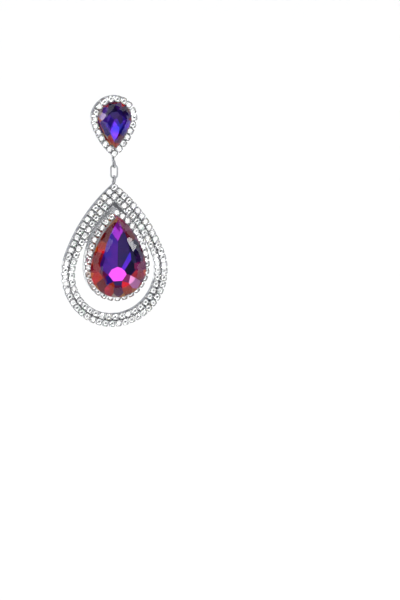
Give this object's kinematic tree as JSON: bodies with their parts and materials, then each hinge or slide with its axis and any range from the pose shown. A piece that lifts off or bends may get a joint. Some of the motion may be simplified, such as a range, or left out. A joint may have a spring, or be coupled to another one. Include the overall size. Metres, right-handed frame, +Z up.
{
  "type": "teardrop drop earring",
  "caption": "Drop earring with a pear-shaped stud and a pear-shaped pendant, each with a large cut stone in a halo of small white stones.",
  "frame": {"origin": "on the post's axis at the back face of the stud, where the stud sits against the ear", "axes": "+Z up along the hanging length, +Y back along the post, +X to the wearer's left when seen from the front"},
  "size_m": [0.0332, 0.0173, 0.0706],
  "materials": {
    "bright_plate": "bright silver-coloured plating on cast alloy",
    "post_steel": "polished steel",
    "white_stones": "foil-backed cut glass in bright claw cups",
    "purple_stone": "foil-backed cut glass with a purple and orange-red coating"
  },
  "bodies": {
    "stud": {"ear_post": "post_steel", "stud_base": "bright_plate", "stud_halo": "white_stones", "stud_stone": "purple_stone"},
    "link": {"jump_ring": "bright_plate"},
    "drop": {"drop_base": "bright_plate", "frame_outer_row": "white_stones", "frame_inner_row": "white_stones", "drop_halo": "white_stones", "drop_stone": "purple_stone"}
  },
  "joints": [
    {"name": "link_sway", "type": "hinge", "parent": "stud", "child": "link", "pos_m": [0, -0.0017, -0.0147], "axis": [0, 1, 0], "range_deg": [-45, 45]},
    {"name": "drop_swing", "type": "hinge", "parent": "link", "child": "drop", "pos_m": [0, -0.0017, -0.018], "axis": [1, 0, 0], "range_deg": [-60, 60]}
  ]
}
